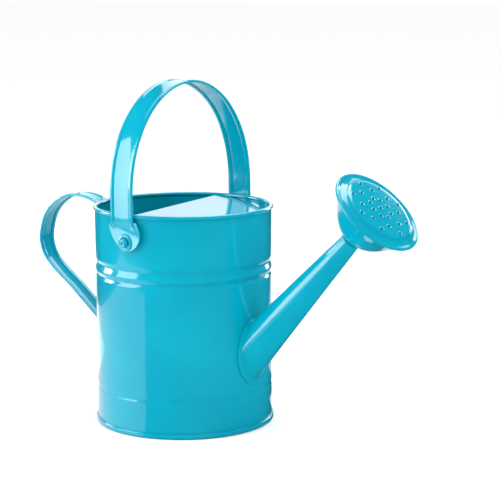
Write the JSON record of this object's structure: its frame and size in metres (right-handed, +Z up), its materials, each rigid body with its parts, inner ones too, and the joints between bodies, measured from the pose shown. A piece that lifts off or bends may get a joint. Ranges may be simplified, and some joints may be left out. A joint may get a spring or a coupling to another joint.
{
  "type": "watering can",
  "caption": "Enamelled sheet-metal watering can with a half-covered mouth, a swinging bail handle, a fixed rear handle and a slanted spout with a pull-off sprinkler rose.",
  "frame": {"origin": "centre of the flat base panel, on the ground plane", "axes": "+X towards the spout, -X towards the fixed rear handle, Y along the bail's pivot line, +Z up along the can's axis"},
  "size_m": [0.3231, 0.1368, 0.2424],
  "materials": {
    "enamel_outside": "glossy light blue enamel",
    "enamel_inside": "glossy blue enamel",
    "bare_steel": "plain steel"
  },
  "bodies": {
    "can": {"body_shell": "enamel_outside", "base_pan": "enamel_outside", "rim_wire": "bare_steel", "hood_cover": "enamel_inside", "spout_tube": "enamel_outside", "bail_rivet_left": "enamel_outside", "bail_rivet_right": "enamel_outside", "bail_washer_left": "bare_steel", "bail_washer_right": "bare_steel", "rear_handle": "enamel_outside", "rear_handle_rivet_top": "enamel_outside", "rear_handle_rivet_bottom": "enamel_outside"},
    "bail": {"bail_strap": "enamel_outside"},
    "rose": {"rose_neck": "enamel_inside", "rose_cup": "enamel_outside", "rose_face_plate": "enamel_outside"}
  },
  "joints": [
    {"name": "bail_swing", "type": "hinge", "parent": "can", "child": "bail", "pos_m": [0.0026, 0, 0.1353], "axis": [0, 1, 0], "range_deg": [-70, 90]},
    {"name": "rose_pull", "type": "slide", "parent": "can", "child": "rose", "axis": [0.6921, 0, 0.7218], "range_m": [0, 0.02]}
  ]
}
